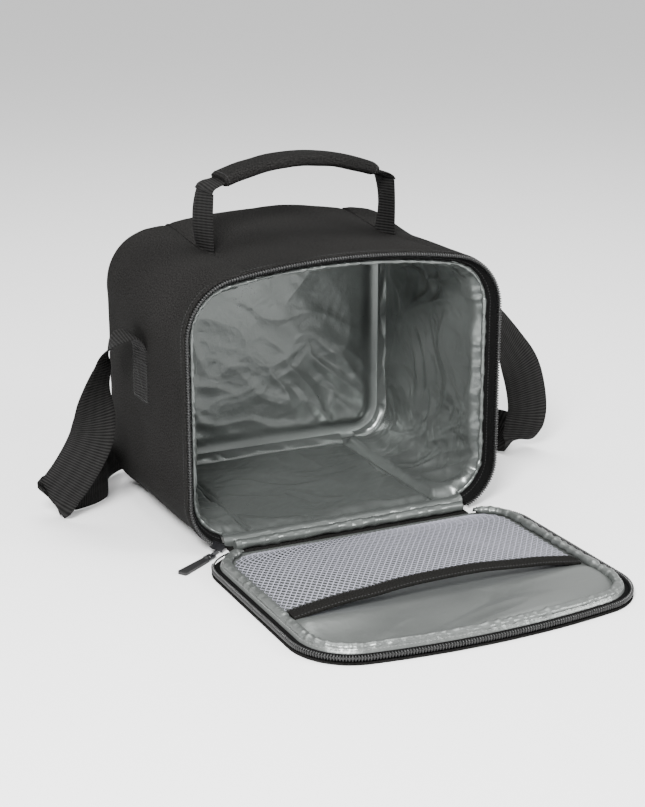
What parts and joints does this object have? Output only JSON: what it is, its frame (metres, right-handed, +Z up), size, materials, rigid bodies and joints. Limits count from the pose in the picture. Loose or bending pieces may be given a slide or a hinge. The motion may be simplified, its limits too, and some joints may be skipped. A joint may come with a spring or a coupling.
{
  "type": "insulated cooler bag",
  "caption": "Soft insulated bag with rounded corners; its front unzips and lies flat as a lid with a mesh pocket. Webbing carry handle on top and a shoulder strap.",
  "frame": {"origin": "middle of the bag's underside, on the ground, midway between its sides and between its zip line and its back", "axes": "+Z up; the opening and the fallen lid face -Y; +X is the right-hand side seen from the opening"},
  "size_m": [0.4984, 0.4812, 0.311],
  "materials": {
    "shell": "dark charcoal woven polyester",
    "webbing": "ribbed charcoal webbing",
    "liner": "satin silver-grey coated liner",
    "foam": "closed-cell foam sheet",
    "mesh": "pale grey spacer mesh",
    "binding": "black woven binding",
    "zip_tape": "black zip tape",
    "zip_coil": "black nylon coil",
    "zip_metal": "black painted zinc",
    "pull": "textured black moulding",
    "plastic": "black moulded plastic"
  },
  "bodies": {
    "shell": {"outer_top": "shell", "outer_left": "shell", "outer_right": "shell", "outer_base": "shell", "outer_back": "shell", "foam_top": "foam", "foam_left": "foam", "foam_right": "foam", "foam_base": "foam", "foam_back": "foam", "liner_top": "liner", "liner_left": "liner", "liner_right": "liner", "liner_base": "liner", "liner_back": "liner", "liner_tape_back_base": "liner", "liner_tape_back_top": "liner", "liner_tape_back_left": "liner", "liner_tape_back_right": "liner", "liner_tape_base_left": "liner", "liner_tape_base_right": "liner", "liner_tape_top_left": "liner", "liner_tape_top_right": "liner", "liner_hem": "liner", "fold_roll": "liner", "fold_strip": "shell", "zip_tape_body": "zip_tape", "zip_coil_body": "zip_coil", "handle_end_left": "webbing", "handle_end_right": "webbing", "strap_end_left": "webbing", "strap_end_right": "webbing", "shoulder_strap": "webbing", "strap_tail": "webbing"},
    "lid": {"lid_shell": "shell", "lid_foam": "foam", "lid_liner": "liner", "lid_rim_roll": "liner", "mesh_pocket": "mesh", "mesh_binding": "binding", "zip_tape_lid": "zip_tape", "zip_coil_lid": "zip_coil"},
    "slider": {"zip_slider": "zip_metal"},
    "pull": {"zip_pull_link": "zip_metal", "zip_pull_tab": "pull"},
    "leg_left": {"handle_leg_left": "webbing"},
    "leg_right": {"handle_leg_right": "webbing"},
    "grip": {"handle_core": "webbing", "handle_sleeve": "shell"},
    "adjuster": {"strap_adjuster": "plastic"}
  },
  "joints": [
    {"name": "lid_fold", "type": "hinge", "parent": "shell", "child": "lid", "pos_m": [0, -0.115, 0], "axis": [-1, 0, 0], "range_deg": [0, 90]},
    {"name": "zip_slider_travel", "type": "hinge", "parent": "shell", "child": "slider", "pos_m": [-0.102, -0.104, 0.044], "axis": [0, 1, 0], "range_deg": [0, 60]},
    {"name": "zip_pull_swing", "type": "hinge", "parent": "slider", "child": "pull", "pos_m": [-0.13, -0.112, 0.0022], "axis": [-0.5446, 0.8387, 0], "range_deg": [0, 50]},
    {"name": "handle_leg_left_sway", "type": "hinge", "parent": "shell", "child": "leg_left", "pos_m": [-0.086, 0, 0.23799], "axis": [0, 1, 0], "range_deg": [-60, 60], "stiffness_Nm_per_rad": 0.05},
    {"name": "handle_grip_sway", "type": "hinge", "parent": "leg_left", "child": "grip", "pos_m": [-0.086, 0, 0.28399], "axis": [0, 1, 0], "range_deg": [-60, 60]},
    {"name": "handle_leg_right_sway", "type": "hinge", "parent": "shell", "child": "leg_right", "pos_m": [0.086, 0, 0.23799], "axis": [0, 1, 0], "range_deg": [-60, 60]},
    {"name": "strap_adjuster_slide", "type": "slide", "parent": "shell", "child": "adjuster", "axis": [1, 0, 0], "range_m": [0, 0.03]}
  ],
  "couplings": [
    {"joint": "handle_grip_sway", "follows": "handle_leg_left_sway", "ratio": -1},
    {"joint": "handle_leg_right_sway", "follows": "handle_leg_left_sway", "ratio": 1}
  ]
}
